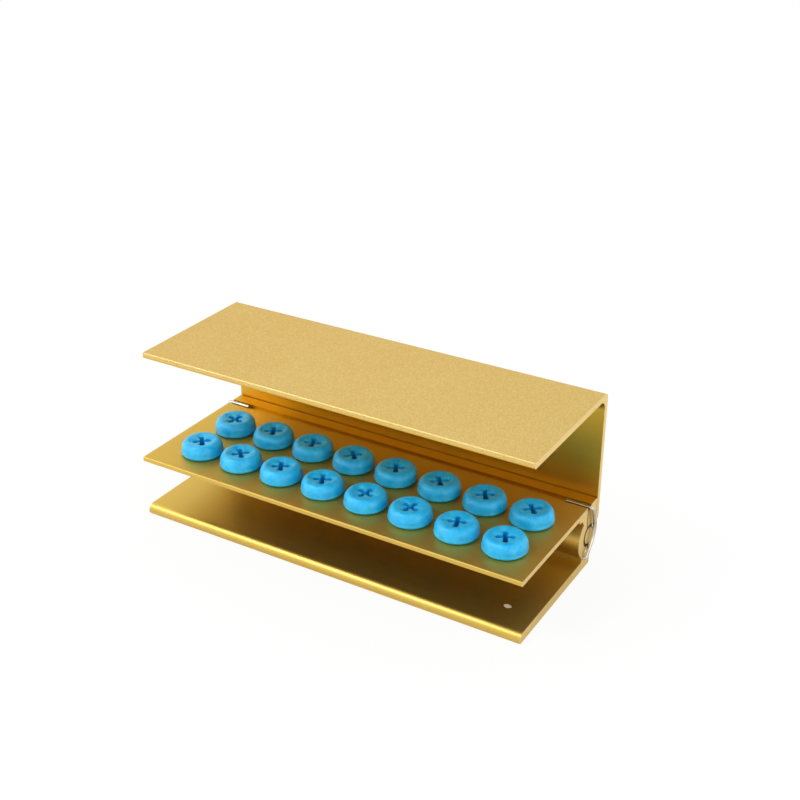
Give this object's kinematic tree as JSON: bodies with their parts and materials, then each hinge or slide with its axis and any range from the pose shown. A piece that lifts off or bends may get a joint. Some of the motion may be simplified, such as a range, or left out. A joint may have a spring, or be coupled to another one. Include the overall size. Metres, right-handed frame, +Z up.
{
  "type": "bur holder block",
  "caption": "Gold anodised bur block: an extruded base with a drilled tray of blue silicone plugs under a hinged C-shaped flip cover, with a spring wire at each end.",
  "frame": {"origin": "middle of the footprint at the height of the surface that the block stands on", "axes": "+X along the block to the right seen from the open front, +Y towards the hinged back wall, +Z up"},
  "size_m": [0.0818, 0.0318, 0.0335],
  "materials": {
    "body_gold": "gold anodised, satin, slightly brushed along the length",
    "cover_gold": "gold anodised, fine blasted satin with a faint sparkle",
    "spring_wire": "bright drawn spring wire",
    "silicone_blue": "smooth moulded silicone, satin"
  },
  "bodies": {
    "base": {"body": "body_gold", "hinge_wire_left": "spring_wire", "hinge_wire_right": "spring_wire", "plug_front_1": "silicone_blue", "plug_front_2": "silicone_blue", "plug_front_3": "silicone_blue", "plug_front_4": "silicone_blue", "plug_front_5": "silicone_blue", "plug_front_6": "silicone_blue", "plug_front_7": "silicone_blue", "plug_front_8": "silicone_blue", "plug_back_1": "silicone_blue", "plug_back_2": "silicone_blue", "plug_back_3": "silicone_blue", "plug_back_4": "silicone_blue", "plug_back_5": "silicone_blue", "plug_back_6": "silicone_blue", "plug_back_7": "silicone_blue", "plug_back_8": "silicone_blue"},
    "flip_cover": {"cover": "cover_gold"}
  },
  "joints": [
    {"name": "cover_flip", "type": "hinge", "parent": "base", "child": "flip_cover", "pos_m": [0, 0.0117, 0.00635], "axis": [-1, 0, 0], "range_deg": [0, 90]}
  ]
}
